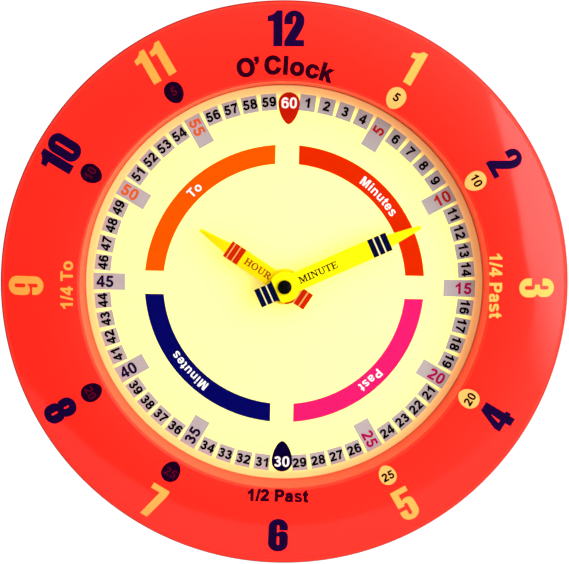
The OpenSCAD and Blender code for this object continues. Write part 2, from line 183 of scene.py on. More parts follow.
# ---------------------------------------------------------------- lettering, heavy narrow figures (10 wide, 18 high)
FIG = {
    "0": [("+", arc(5, 13.6, 4.8, 4.4, 180, 0, 16) + arc(5, 4.4, 4.8, 4.4, 0, -180, 16)), ("-", arc(5, 13.9, 1.0, 1.0, 180, 0, 8) + arc(5, 4.1, 1.0, 1.0, 0, -180, 8))],
    "1": [("+", [(3.4, 0), (7.6, 0), (7.6, 18), (5.0, 18), (4.2, 16.9), (2.9, 15.9), (0.6, 15.2), (0.6, 12.6), (3.4, 12.9)])],
    "2": [("+", [(0.2, 11.2), (0.2, 13.2)] + arc(5, 13.2, 4.8, 4.8, 180, 0, 16) + [(9.75, 12), (9.3, 10.2), (8.3, 8), (6.6, 5), (5.3, 2.9), (9.6, 2.9), (9.6, 0), (0.2, 0), (0.2, 2.4), (3.4, 8), (5.2, 11.2), (5.8, 12.8), (5.95, 14.2)] + arc(5, 14.3, 0.95, 1.1, 0, 180, 8) + [(4.05, 11.2)])],
    "3": [("+", [(0.3, 12), (0.3, 13.6)] + arc(5, 13.6, 4.7, 4.4, 180, 0, 16) + [(9.7, 12.2), (9.5, 10.8), (8.6, 9.7), (7.9, 9.3), (8.8, 8.8), (9.6, 7.8), (9.8, 6.4), (9.8, 4.6)] + arc(5, 4.4, 4.8, 4.4, 0, -180, 16) + [(0.2, 6.4), (4, 6.4), (4, 3.9)] + arc(5, 3.9, 1, 1.1, 180, 360, 8) + [(6, 6.6), (5.8, 7.6), (5.2, 8), (3.4, 8.05), (3.4, 10.6), (5, 10.65), (5.7, 11), (5.9, 11.9), (5.9, 14.2)] + arc(4.95, 14.2, 0.95, 1, 0, 180, 8) + [(4, 12)])],
    "4": [("+", [(5, 0), (9, 0), (9, 3.4), (10.2, 3.4), (10.2, 6.2), (9, 6.2), (9, 18), (4.2, 18), (-0.2, 6.6), (-0.2, 3.4), (5, 3.4)]), ("-", [(5, 6.2), (2.9, 6.2), (5, 12.8)])],
    "5": [("+", [(0.5, 18), (9.3, 18), (9.3, 15.1), (4, 15.1), (4, 11.4), (4.6, 11.9), (5.6, 12.3), (6.6, 12.3), (8, 12.1), (9.2, 11.2), (9.7, 9.6), (9.8, 8)] + arc(5, 4.4, 4.8, 4.4, 0, -180, 16) + [(0.2, 6.2), (4, 6.2), (4, 3.8)] + arc(5, 3.8, 1, 1, 180, 360, 8) + [(6, 8.6), (5.8, 9.4), (5, 9.7), (4.2, 9.3), (4, 8.4), (0.5, 8.4)])],
    "6": [("+", [(9.6, 12.2)] + arc(5, 13.6, 4.7, 4.4, 0, 180, 16) + arc(5, 4.4, 4.8, 4.4, 180, 360, 16) + [(9.8, 8.2), (9.6, 9.6), (8.8, 10.7), (7.4, 11.1), (6, 10.9), (4.6, 10.1), (4.05, 9.6), (4, 14.1)] + arc(4.95, 14.1, 0.95, 1, 180, 0, 8) + [(5.9, 12.2)]), ("-", arc(5, 7.8, 1, 1, 180, 0, 8) + arc(5, 4.0, 1, 1, 0, -180, 8))],
    "7": [("+", [(0.3, 18), (9.6, 18), (9.6, 15), (6.4, 0), (2.4, 0), (5.4, 14.9), (0.3, 14.9)])],
    "8": [("+", arc(5, 13.7, 4.6, 4.3, 180, 0, 16) + [(9.6, 12.2), (9.2, 10.5), (8.3, 9.4), (9.3, 8.4), (9.8, 6.8)] + arc(5, 4.4, 4.8, 4.4, 0, -180, 16) + [(0.2, 6.8), (0.7, 8.4), (1.7, 9.4), (0.8, 10.5), (0.4, 12.2)]), ("-", arc(5, 14.05, 0.95, 0.95, 180, 0, 8) + arc(5, 11.85, 0.95, 0.95, 0, -180, 8)), ("-", arc(5, 6.9, 1, 1, 180, 0, 8) + arc(5, 4.0, 1, 1, 0, -180, 8))],
}
FIG["9"] = turn_about(FIG["6"], 5, 9)
FIG_ADV = {"1": 8.6}

# ---------------------------------------------------------------- lettering, bold plain letters (1000 to the em, capitals 716 high)
_six = [("+", stroke(arc(300, 392, 196, 254, 38, 185, 18), 134)), ("+", sup(285, 228, 240, 240)), ("-", sup(289, 224, 102, 126))]
_n = [("+", [(150, 0), (150, 330)] + arc(372, 342, 172, 189, 180, 0, 14) + [(544, 0)]), ("-", [(209, -9), (209, 303)] + arc(308, 303, 99, 118, 180, 0, 12) + [(407, -9)]), ("+", rect(72, 0, 209, 519))]
SANS = {
    "0": (556, [("+", sup(278, 355, 240, 367)), ("-", sup(278, 355, 100, 256))]),
    "1": (556, [("+", [(394, 0), (257, 0), (257, 517), (182, 457), (79, 413), (79, 537), (137, 560), (196, 600), (250, 653), (282, 719), (394, 719)])]),
    "2": (556, [("+", stroke(arc(272, 512, 168, 138, 172, -20, 16) + [(398, 395), (330, 315), (240, 228), (165, 152), (105, 60)], 136)), ("+", rect(30, 0, 508, 124)), ("-", rect(-200, -200, 800, 0)), ("-", [(-200, -10), (30, -10), (30, 60), (68, 150), (-200, 150)])]),
    "3": (556, [("+", stroke(arc(258, 524, 150, 128, 165, -75, 16), 128)), ("+", rect(196, 336, 300, 440)), ("+", stroke(arc(262, 200, 172, 146, 82, -165, 18), 130))]),
    "4": (556, [("+", [(318, 0), (318, 144), (26, 144), (26, 264), (336, 719), (451, 719), (451, 265), (540, 265), (540, 144), (451, 144), (451, 0)]), ("-", [(318, 265), (318, 510), (153, 265)])]),
    "5": (556, [("+", rect(127, 585, 478, 710)), ("+", [(125, 710), (240, 710), (214, 470), (190, 400), (62, 345)]), ("+", stroke(arc(262, 228, 180, 172, 128, -168, 18), 130))]),
    "6": (556, _six),
    "7": (556, [("+", [(43, 579), (43, 706), (512, 706), (512, 606), (420, 490), (330, 310), (276, 140), (258, 0), (123, 0), (140, 140), (196, 310), (270, 460), (348, 579)])]),
    "8": (556, [("+", sup(278, 528, 212, 192)), ("+", sup(278, 205, 242, 217)), ("-", sup(278, 532, 84, 84)), ("-", sup(278, 200, 104, 103))]),
    "9": (556, turn_about(_six, 278, 355)),
    "T": (611, [("+", rect(21, 595, 590, 716)), ("+", rect(232, 0, 380, 716))]),
    "M": (833, [("+", [(71, 0), (71, 716), (287, 716), (417, 228), (546, 716), (762, 716), (762, 0), (628, 0), (628, 564), (486, 0), (347, 0), (205, 564), (205, 0)])]),
    "P": (667, [("+", rect(73, 0, 218, 716)), ("+", [(73, 716)] + arc(400, 494, 224, 222, 90, -90, 16) + [(73, 272)]), ("-", [(218, 597)] + arc(392, 494, 82, 103, 90, -90, 14) + [(218, 391)])]),
    "O": (778, [("+", sup(389, 358, 346, 370, 2.2)), ("-", sup(389, 358, 194, 244, 2.2))]),
    "C": (722, [("+", sup(376, 358, 330, 370, 2.2)), ("-", sup(376, 358, 180, 244, 2.2)), ("-", [(430, 358), (528, 483), (720, 532), (820, 358), (720, 200), (528, 263)])]),
    "a": (556, [("+", stroke(arc(266, 362, 152, 108, 172, 0, 14) + [(418, 300), (418, 140), (420, 30)], 126)), ("+", sup(218, 152, 182, 164)), ("+", rect(215, 222, 420, 312)), ("-", sup(266, 150, 92, 66)), ("+", rect(355, 20, 481, 300)), ("+", [(355, 70), (481, 90), (484, 40), (500, 0), (365, 0)])]),
    "c": (556, [("+", sup(300, 259, 262, 272, 2.2)), ("-", sup(304, 259, 122, 164, 2.2)), ("-", [(322, 259), (392, 346), (542, 372), (640, 259), (542, 158), (392, 182)])]),
    "e": (556, [("+", sup(277, 260, 240, 272, 2.2)), ("-", sup(277, 262, 102, 166, 2.2)), ("+", rect(160, 222, 512, 304)), ("-", [(300, 222), (300, 170), (372, 166), (640, 140), (640, 222)])]),
    "i": (278, [("+", rect(72, 0, 209, 519)), ("+", rect(72, 589, 209, 716))]),
    "k": (556, [("+", [(67, 0), (67, 716), (204, 716), (204, 336), (365, 519), (534, 519), (357, 329), (547, 0), (399, 0), (268, 233), (204, 166), (204, 0)])]),
    "l": (278, [("+", rect(72, 0, 209, 716))]),
    "n": (611, _n),
    "o": (611, [("+", sup(305, 259, 268, 272, 2.2)), ("-", sup(305, 259, 128, 158, 2.2))]),
    "s": (556, [("+", stroke(arc(330, 388, 88, 88, 15, 90, 6) + arc(196, 388, 88, 88, 90, 265, 12) + arc(362, 138, 92, 92, 85, -90, 12) + arc(200, 138, 92, 92, 270, 195, 6), 110))]),
    "t": (333, [("+", [(86, 200), (86, 150)] + arc(226, 150, 140, 162, 180, 270, 10) + [(275, -8), (320, 8), (308, 114), (265, 103), (243, 103), (228, 112), (223, 135), (223, 200)]), ("+", [(86, 190), (223, 190), (223, 702), (86, 622)]), ("+", rect(18, 410, 312, 519))]),
    "u": (611, turn_about(_n, 305.5, 259.5)),
    "/": (278, [("+", [(0, -12), (104, -12), (281, 728), (178, 728)])]),
    "'": (278, [("+", [(72, 716), (212, 716), (212, 590), (196, 520), (140, 460), (96, 440), (82, 482), (126, 520), (140, 578), (72, 578)])]),
    " ": (278, []),
}

# ---------------------------------------------------------------- lettering, capitals with serifs (capitals 662 high)
SERIF = {
    "H": (722, [("+", rect(102, 0, 202, 662)), ("+", rect(520, 0, 620, 662)), ("+", rect(202, 306, 520, 362)), ("+", rect(19, 0, 285, 30)), ("+", rect(19, 632, 285, 662)), ("+", rect(437, 0, 703, 30)), ("+", rect(437, 632, 703, 662))]),
    "O": (722, [("+", sup(361, 331, 327, 345, 2.05)), ("-", sup(361, 331, 216, 308, 2.05))]),
    "U": (722, [("+", [(118, 662), (118, 210)] + arc(362, 210, 244, 224, 180, 360, 16) + [(606, 662), (552, 662), (552, 210)] + arc(385, 210, 167, 178, 360, 180, 14) + [(218, 662)]), ("+", rect(14, 632, 312, 662)), ("+", rect(473, 632, 705, 662))]),
    "R": (667, [("+", rect(102, 0, 202, 662)), ("+", [(150, 662)] + arc(330, 490, 229, 172, 90, -90, 14) + [(150, 318)]), ("-", [(202, 622)] + arc(322, 490, 124, 132, 90, -90, 12) + [(202, 358)]), ("+", [(270, 338), (392, 322), (640, 30), (659, 30), (659, 0), (520, 0)]), ("+", rect(17, 0, 294, 30)), ("+", rect(17, 632, 180, 662))]),
    "M": (889, [("+", [(118, 0), (118, 662), (236, 662), (456, 176), (660, 662), (780, 662), (780, 0), (676, 0), (676, 520), (440, 0), (412, 0), (166, 545), (166, 0)]), ("+", rect(12, 0, 270, 30)), ("+", rect(12, 632, 236, 662)), ("+", rect(588, 0, 866, 30)), ("+", rect(660, 632, 866, 662))]),
    "I": (333, [("+", rect(116, 0, 217, 662)), ("+", rect(18, 0, 315, 30)), ("+", rect(18, 632, 315, 662))]),
    "N": (722, [("+", [(110, 0), (110, 662), (216, 662), (556, 190), (556, 662), (604, 662), (604, -11), (575, -11), (158, 570), (158, 0)]), ("+", rect(12, 0, 246, 30)), ("+", rect(12, 632, 216, 662)), ("+", rect(470, 632, 707, 662))]),
    "T": (611, [("+", rect(255, 0, 355, 662)), ("+", rect(22, 622, 588, 662)), ("+", [(17, 492), (44, 492), (72, 662), (22, 662)]), ("+", [(566, 492), (593, 492), (588, 662), (538, 662)]), ("+", rect(160, 0, 452, 30))]),
    "E": (611, [("+", rect(102, 0, 202, 662)), ("+", rect(12, 0, 560, 38)), ("+", rect(12, 624, 546, 662)), ("+", rect(202, 314, 440, 356)), ("+", rect(412, 262, 440, 408)), ("+", [(518, 662), (546, 662), (550, 522), (524, 522)]), ("+", [(540, 0), (570, 0), (597, 170), (570, 170)])]),
    " ": (250, []),
}


def bold(shapes, d):
    """Shapes with their fills grown and their holes shrunk by d."""
    out = []
    for s, p in shapes:
        q = [v for i, v in enumerate(p) if math.dist(v, p[i - 1]) > 1e-6]
        q = q if area(q) > 0 else q[::-1]
        out.append((s, inset(q, -d if s == "+" else d)))
    return out


def line_of(text, font, size, track=0.0, weight=0.0):
    """[(centre x, shapes about that x)] for a line of text, centred on its ink, in mm."""
    x, out = 0.0, []
    for ch in text:
        adv, shapes = font[ch]
        shapes = bold(shapes, min(weight, 25) if ch == "s" else weight) if weight else shapes
        if shapes:
            out.append((x + adv / 2, [(s, [(px - adv / 2, py) for px, py in p]) for s, p in shapes]))
        x += adv + track
    lo = min(c + min(v[0] for s, p in sh if s == "+" for v in p) for c, sh in out)
    hi = max(c + max(v[0] for s, p in sh if s == "+" for v in p) for c, sh in out)
    k = size / 1000
    return [((c - (lo + hi) / 2) * k, [(s, [(px * k, py * k) for px, py in p]) for s, p in sh]) for c, sh in out], (hi - lo) * k


def straight(text, font, size, ox, oy, ux, uy, mid, track=0.0, weight=0.0):
    """A straight line of text whose letters' mid height (mm above the baseline) sits on (ox, oy)."""
    out = []
    for c, sh in line_of(text, font, size, track, weight)[0]:
        out.append(moved([(s, [(px + c, py - mid) for px, py in p]) for s, p in sh], ox, oy, ux, uy))
    return out


def polar(r, a):
    return r * math.sin(math.radians(a)), r * math.cos(math.radians(a))


def figure_text(text, sx, sy, grow=0.0):
    """Heavy figures side by side, centred, in mm. Thicker ones keep their height."""
    sx *= 10.6 / (10.6 + 2 * max(0, grow - 0.3))
    sy *= 18 / (18 + 2 * grow)
    x, parts = 0.0, []
    for ch in text:
        parts.append((x, bold(FIG[ch], grow) if grow else FIG[ch]))
        x += FIG_ADV.get(ch, 10.6)
    pts = [v[0] + o for o, sh in parts for s, p in sh for v in p]
    mid = (min(pts) + max(pts)) / 2
    return [[(s, [((px + o - mid) * sx, (py - 9) * sy) for px, py in p]) for s, p in sh] for o, sh in parts]


# ---------------------------------------------------------------- meshes
inks = {}


def lay(ink, shapes, surface, low, high, grid=0.0):
    """Adds a thin closed layer over the painted area to a print."""
    verts, tris = region(shapes, grid)
    used = sorted({k for t in tris for k in t})
    v, f = inks.setdefault(ink, ([], []))
    top = {k: len(v) + i for i, k in enumerate(used)}
    v += [world(*verts[k], surface(*verts[k]) + high) for k in used]
    bot = {k: len(v) + i for i, k in enumerate(used)}
    v += [world(*verts[k], surface(*verts[k]) + low) for k in used]
    for t in tris:
        f.append(tuple(top[k] for k in t))
        f.append(tuple(bot[k] for k in reversed(t)))
    for a, b in rim_edges(tris):
        f.append((bot[a], bot[b], top[b], top[a]))


def new_object(name, mesh, body, material):
    ob = bpy.data.objects.new(name, mesh)
    scene.collection.objects.link(ob)
    for m in material if isinstance(material, (list, tuple)) else [material]:
        mesh.materials.append(m)
    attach(ob, body)
    return ob


def smooth(mesh, angle):
    mesh.shade_smooth()
    mesh.set_sharp_from_angle(angle=math.radians(angle))


def revolve(bm, profile, seg, place, mats=None):
    """Turns a closed profile of (radius, height) about an axis. place(c, s, r, h) gives the point. Points on the axis close the ends."""
    rings = []
    for r, h in profile:
        if r < 1e-9:
            rings.append([bm.verts.new(place(1, 0, 0, h))] * seg)
        else:
            rings.append([bm.verts.new(place(math.cos(2 * math.pi * i / seg), math.sin(2 * math.pi * i / seg), r, h)) for i in range(seg)])
    n = len(profile)
    for k in range(n):
        a, b = rings[k], rings[(k + 1) % n]
        if profile[k][0] < 1e-9 and profile[(k + 1) % n][0] < 1e-9:
            continue
        for i in range(seg):
            j = (i + 1) % seg
            quad = []
            for q in (a[i], a[j], b[j], b[i]):
                if q not in quad:
                    quad.append(q)
            if len(quad) > 2:
                face = bm.faces.new(quad)
                if mats:
                    face.material_index = mats[k]


def about_y(c, s, r, h):
    return world(r * c, r * s, h)


def mesh_from(bm, name, angle=35):
    bmesh.ops.recalc_face_normals(bm, faces=bm.faces)
    me = bpy.data.meshes.new(name)
    bm.to_mesh(me)
    bm.free()
    smooth(me, angle)
    return me


def slab(bm, shapes, f0, f1, bev, along):
    """A plate with small rounded edges. along(x, y) turns the drawing into x, z."""
    loops = outlines(shapes)
    insets = [inset(lp, bev) for lp in loops]
    halves = [inset(lp, bev * 0.3) for lp in loops]
    for lp, mid, ins in zip(loops, halves, insets):
        levels = [(ins, f0), (mid, f0 + bev * 0.3), (lp, f0 + bev), (lp, f1 - bev), (mid, f1 - bev * 0.3), (ins, f1)]
        rings = [[bm.verts.new(world(*along(*p), f)) for p in pts] for pts, f in levels]
        for a, b in zip(rings, rings[1:]):
            for i in range(len(a)):
                j = (i + 1) % len(a)
                bm.faces.new((a[i], a[j], b[j], b[i]))
    order = sorted(insets, key=lambda lp: -area(lp))
    verts, tris = region([("+" if area(lp) > 0 else "-", lp) for lp in order])
    for f, flip in ((f0, True), (f1, False)):
        ring = {k: bm.verts.new(world(*along(*verts[k]), f)) for t in tris for k in t}
        for t in tris:
            bm.faces.new([ring[k] for k in (reversed(t) if flip else t)])
    bmesh.ops.remove_doubles(bm, verts=bm.verts, dist=2e-6)


# ---------------------------------------------------------------- materials
def material(name, color, rough, metallic=0.0, spec=0.5, coat=0.0, spread=0.06, scale=90.0, rough_spread=0.06, bump=0.03, bump_scale=1500.0, stretch=None):
    """A principled surface whose colour and roughness drift with fine noise, with a fine bump."""
    m = bpy.data.materials.new(name)
    m.use_nodes = True
    nt = m.node_tree
    bsdf = nt.nodes["Principled BSDF"]
    bsdf.inputs["Metallic"].default_value = metallic
    bsdf.inputs["Specular IOR Level"].default_value = spec
    bsdf.inputs["Coat Weight"].default_value = coat
    bsdf.inputs["Coat Roughness"].default_value = 0.06
    tc = nt.nodes.new("ShaderNodeTexCoord")
    mp = nt.nodes.new("ShaderNodeMapping")
    if stretch:
        mp.inputs["Scale"].default_value = stretch
    nt.links.new(tc.outputs["Object"], mp.inputs["Vector"])
    n1 = nt.nodes.new("ShaderNodeTexNoise")
    n1.inputs["Scale"].default_value = scale
    n1.inputs["Detail"].default_value = 5.0
    nt.links.new(mp.outputs["Vector"], n1.inputs["Vector"])
    ramp = nt.nodes.new("ShaderNodeValToRGB")
    ramp.name = "tone"
    ramp.color_ramp.elements[0].position = 0.3
    ramp.color_ramp.elements[1].position = 0.7
    ramp.color_ramp.elements[0].color = (*[c * (1 - spread) for c in color], 1)
    ramp.color_ramp.elements[1].color = (*[min(1, c * (1 + spread)) for c in color], 1)
    nt.links.new(n1.outputs["Fac"], ramp.inputs["Fac"])
    nt.links.new(ramp.outputs["Color"], bsdf.inputs["Base Color"])
    n2 = nt.nodes.new("ShaderNodeTexNoise")
    n2.inputs["Scale"].default_value = bump_scale
    n2.inputs["Detail"].default_value = 3.0
    nt.links.new(mp.outputs["Vector"], n2.inputs["Vector"])
    mr = nt.nodes.new("ShaderNodeMapRange")
    mr.inputs["To Min"].default_value = max(0.02, rough - rough_spread)
    mr.inputs["To Max"].default_value = min(1.0, rough + rough_spread)
    nt.links.new(n1.outputs["Fac"], mr.inputs["Value"])
    nt.links.new(mr.outputs["Result"], bsdf.inputs["Roughness"])
    bp = nt.nodes.new("ShaderNodeBump")
    bp.inputs["Strength"].default_value = bump
    bp.inputs["Distance"].default_value = 0.0004
    nt.links.new(n2.outputs["Fac"], bp.inputs["Height"])
    nt.links.new(bp.outputs["Normal"], bsdf.inputs["Normal"])
    return m


def warm_edge(m, r0, r1, tone):
    """Painted shade: tints and darkens a round sheet by tone from radius r0 (mm) outward, fully from r1."""
    nt = m.node_tree
    tc = nt.nodes.new("ShaderNodeTexCoord")
    flatten = nt.nodes.new("ShaderNodeVectorMath")
    flatten.operation = "MULTIPLY"
    flatten.inputs[1].default_value = (1, 0, 1)
    length = nt.nodes.new("ShaderNodeVectorMath")
    length.operation = "LENGTH"
    mr = nt.nodes.new("ShaderNodeMapRange")
    mr.interpolation_type = "SMOOTHSTEP"
    mr.inputs["From Min"].default_value = r0 * MM
    mr.inputs["From Max"].default_value = r1 * MM
    mix = nt.nodes.new("ShaderNodeMix")
    mix.data_type = "RGBA"
    mix.blend_type = "MULTIPLY"
    mix.inputs[7].default_value = (*tone, 1)
    nt.links.new(tc.outputs["Object"], flatten.inputs[0])
    nt.links.new(flatten.outputs["Vector"], length.inputs[0])
    nt.links.new(length.outputs["Value"], mr.inputs["Value"])
    nt.links.new(mr.outputs["Result"], mix.inputs[0])
    nt.links.new(nt.nodes["Principled BSDF"].inputs["Base Color"].links[0].from_socket, mix.inputs[6])
    nt.links.new(mix.outputs[2], nt.nodes["Principled BSDF"].inputs["Base Color"])


RED = material("rim_red_gloss", (0.95, 0.0108, 0.0046), 0.09, spec=0.22, spread=0.02, scale=14, rough_spread=0.02, bump=0.012, bump_scale=420)
RED_SOFT = material("rim_red_turn", (0.9, 0.018, 0.008), 0.5, spec=0.1, spread=0.02, scale=30, bump=0.012, bump_scale=500)
# Painted shade: a darker copy of the rim's red for the dark line along the outer edge.
RED_EDGE_SHADE = material("rim_red_edge_painted_shade", (0.22, 0.004, 0.0015), 0.45, spec=0.05, spread=0.03, scale=60, bump=0.02, bump_scale=700)
# Inner wall: a more orange red and a faint red glow, painted light standing in for the dial's yellow reflection and red
# bounce light on the wall.
RED_WALL_GLOW = material("rim_red_wall_painted_glow", (0.85, 0.062, 0.028), 0.4, spec=0.22, spread=0.02, scale=14, rough_spread=0.03, bump=0.012, bump_scale=420)
RED_WALL_GLOW.node_tree.nodes["Principled BSDF"].inputs["Emission Color"].default_value = (1.0, 0.02, 0.008, 1)
RED_WALL_GLOW.node_tree.nodes["Principled BSDF"].inputs["Emission Strength"].default_value = 0.12
DIAL = material("dial_print_yellow_and_painted_shade", (0.97, 0.90, 0.24), 0.6, spec=0.05, spread=0.012, scale=40, bump=0.02, bump_scale=2200)
# Painted shade: the dial's margin darkens and turns orange towards the rim's wall, standing in for the wall's shadow
# and its red bounce light.
warm_edge(DIAL, 98, 104, (0.8, 0.5, 0.68))
# Painted shade: a thin dark ring where the dial meets the rim's wall, standing in for the shadow in the gap.
warm_edge(DIAL, 105.95, 106.35, (0.6, 0.38, 0.36))
INK = {
    "navy": material("ink_navy", (0.004902, 0.000172, 0.01763), 0.5, spec=0.01, spread=0.15, scale=160, bump=0.01),
    "cream_drop": material("ink_cream_drop", (0.5676, 0.275, 0.068), 0.5, spec=0.02, spread=0.03, scale=160, bump=0.01),
    "cream": material("ink_cream", (0.5676, 0.2494, 0.0473), 0.5, spec=0.02, spread=0.03, scale=160, bump=0.01),
    # Painted light and shade: the next two inks are a darker and a lighter copy of the cream ink, for the rim print on
    # its dimmer left side (9, 11, 1/4 To) and brighter right side (3, 1/4 Past).
    "cream_deep": material("ink_cream_painted_shade", (0.5676, 0.213, 0.033), 0.5, spec=0.02, spread=0.03, scale=160, bump=0.01),
    "cream_light": material("ink_cream_painted_light", (0.5676, 0.287, 0.0585), 0.5, spec=0.02, spread=0.03, scale=160, bump=0.01),
    "black": material("ink_black", (0.000774, 0.000516, 0.000774), 0.6, spec=0.0, spread=0.2, scale=300, bump=0.01),
    "word_navy": material("ink_word_navy", (0.005504, 0, 0.006708), 0.5, spec=0.0, spread=0.15, scale=160, bump=0.01),
    "word_dark": material("ink_word_dark", (0.0145, 0, 0.0043), 0.5, spec=0.0, spread=0.15, scale=160, bump=0.01),
    "rear_mark": material("ink_rear_mark", (0.34, 0.34, 0.35), 0.6, spec=0.1, spread=0.06, scale=300, bump=0.02),
    "stripe_amber": material("ink_stripe_amber", (0.5, 0.25, 0.06), 0.5, spec=0.02, spread=0.02, scale=200, bump=0.01),
    "dull_red": material("ink_dull_red", (0.0516, 0.00086, 0.00731), 0.5, spec=0.0, spread=0.1, scale=300, bump=0.01),
    "grey": material("ink_grey", (0.28, 0.244, 0.249), 0.6, spec=0.02, spread=0.03, scale=120, bump=0.01),
    "red": material("ink_red", (0.2924, 0.00731, 0.00645), 0.6, spec=0.0, spread=0.05, scale=160, bump=0.01),
    "magenta": material("ink_magenta", (0.258, 0.00258, 0.0516), 0.6, spec=0.0, spread=0.05, scale=160, bump=0.01),
    "orange_number": material("ink_orange_number", (0.43, 0.06192, 0.01204), 0.6, spec=0.0, spread=0.05, scale=160, bump=0.01),
    "white": material("ink_white", (0.645, 0.6278, 0.6106), 0.6, spec=0.02, spread=0.01, scale=160, bump=0.01),
    "drop_red": material("ink_drop_red", (0.3182, 0.005676, 0.000602), 0.6, spec=0.0, spread=0.04, scale=160, bump=0.01),
    "drop_navy": material("ink_drop_navy", (0.001204, 0, 0.01634), 0.6, spec=0.0, spread=0.04, scale=160, bump=0.01),
    "arc_orange": material("ink_arc_orange", (0.4902, 0.0516, 0), 0.6, spec=0.0, spread=0.02, scale=60, bump=0.01),
    "arc_red": material("ink_arc_red", (0.4128, 0.01118, 0), 0.6, spec=0.0, spread=0.02, scale=60, bump=0.01),
    "arc_pink": material("ink_arc_pink", (0.45, 0.0062, 0.085), 0.6, spec=0.0, spread=0.02, scale=60, bump=0.01),
    "arc_navy": material("ink_arc_navy", (0.000602, 0.000602, 0.0645), 0.6, spec=0.0, spread=0.05, scale=60, bump=0.01),
    "stripe_navy": material("ink_stripe_navy", (0.0006, 0.0016, 0.0175), 0.5, spec=0.0, spread=0.1, scale=200, bump=0.01),
    "stripe_red": material("ink_stripe_red", (0.35, 0.009, 0.0005), 0.5, spec=0.0, spread=0.06, scale=200, bump=0.01),
    "stripe_cream": material("ink_stripe_cream", (0.5332, 0.4472, 0.2236), 0.5, spec=0.02, spread=0.02, scale=200, bump=0.01),
    "brown": material("ink_brown", (0.1634, 0.01548, 0.00172), 0.5, spec=0.0, spread=0.06, scale=300, bump=0.01),
}
YELLOW_M = material("hand_yellow", (0.6708, 0.5246, 0.000516), 0.45, spec=0.02, spread=0.02, scale=70, bump=0.015, bump_scale=900)
# Painted shade: the hour hand gets a darker copy of the minute hand's yellow.
YELLOW_HOUR_SHADED = material("hand_yellow_painted_shade", (0.6708, 0.43, 0.000516), 0.45, spec=0.02, spread=0.02, scale=70, bump=0.015, bump_scale=900)
BLACK_GLOSS = material("black_gloss", (0.0004, 0.0003, 0.0004), 0.3, spec=0.025, spread=0.2, scale=200, bump=0.01)
BLACK = material("black_moulding", (0.022, 0.022, 0.024), 0.52, spread=0.18, scale=120, rough_spread=0.1, bump=0.12, bump_scale=1100)
KNOB = material("knob_grey", (0.075, 0.075, 0.08), 0.5, spread=0.15, scale=160, rough_spread=0.1, bump=0.08, bump_scale=1100)
WHITE = material("natural_moulding", (0.72, 0.71, 0.66), 0.42, spread=0.04, scale=200, bump=0.05)
STEEL = material("plated_steel", (0.58, 0.58, 0.6), 0.3, metallic=1.0, spread=0.08, scale=260, bump=0.03, stretch=(1, 1, 6))
BRASS = material("turned_brass", (0.62, 0.43, 0.16), 0.3, metallic=1.0, spread=0.1, scale=240, bump=0.03, stretch=(1, 8, 1))
COPPER = material("enamelled_wire", (0.52, 0.19, 0.06), 0.28, metallic=0.8, spread=0.2, scale=1200, bump=0.4, bump_scale=2600, stretch=(8, 1, 1))
RUBBER = material("rubber_black", (0.012, 0.012, 0.012), 0.8, spread=0.2, scale=300, bump=0.1)
BOARD = material("board_green", (0.02, 0.16, 0.05), 0.35, spread=0.15, scale=600, bump=0.06)
EPOXY = material("potting_black", (0.008, 0.008, 0.008), 0.25, spread=0.2, scale=300, bump=0.05, bump_scale=500)
MAGNET = material("bonded_magnet", (0.06, 0.06, 0.065), 0.6, metallic=0.3, spread=0.2, scale=700, bump=0.1)
SLEEVE = material("cell_sleeve", (0.03, 0.034, 0.042), 0.3, spec=0.5, spread=0.1, scale=80, bump=0.02)
SLEEVE_BAND = material("cell_band", (0.5, 0.27, 0.09), 0.3, metallic=0.6, spread=0.06, scale=90, bump=0.02)


def clear_material():
    m = bpy.data.materials.new("clear_lens")
    m.use_nodes = True
    nt = m.node_tree
    for nd in list(nt.nodes):
        nt.nodes.remove(nd)
    out = nt.nodes.new("ShaderNodeOutputMaterial")
    mix = nt.nodes.new("ShaderNodeMixShader")
    tr = nt.nodes.new("ShaderNodeBsdfTransparent")
    gl = nt.nodes.new("ShaderNodeBsdfGlossy")
    facing = nt.nodes.new("ShaderNodeLayerWeight")
    steep = nt.nodes.new("ShaderNodeMath")
    steep.operation = "POWER"
    steep.inputs[1].default_value = 5
    share = nt.nodes.new("ShaderNodeMath")
    share.operation = "MULTIPLY_ADD"
    share.inputs[1].default_value = 0.6
    share.inputs[2].default_value = 0.0012
    tc = nt.nodes.new("ShaderNodeTexCoord")
    noise = nt.nodes.new("ShaderNodeTexNoise")
    mr = nt.nodes.new("ShaderNodeMapRange")
    tr.inputs["Color"].default_value = (0.995, 0.998, 0.995, 1)
    gl.inputs["Color"].default_value = (1, 1, 1, 1)
    noise.inputs["Scale"].default_value = 25
    mr.inputs["To Min"].default_value = 0.02
    mr.inputs["To Max"].default_value = 0.05
    facing.inputs["Blend"].default_value = 0.5
    nt.links.new(tc.outputs["Object"], noise.inputs["Vector"])
    nt.links.new(noise.outputs["Fac"], mr.inputs["Value"])
    nt.links.new(mr.outputs["Result"], gl.inputs["Roughness"])
    nt.links.new(facing.outputs["Facing"], steep.inputs[0])
    nt.links.new(steep.outputs[0], share.inputs[0])
    nt.links.new(share.outputs[0], mix.inputs["Fac"])
    nt.links.new(tr.outputs["BSDF"], mix.inputs[1])
    nt.links.new(gl.outputs["BSDF"], mix.inputs[2])
    nt.links.new(mix.outputs["Shader"], out.inputs["Surface"])
    return m


CLEAR = clear_material()

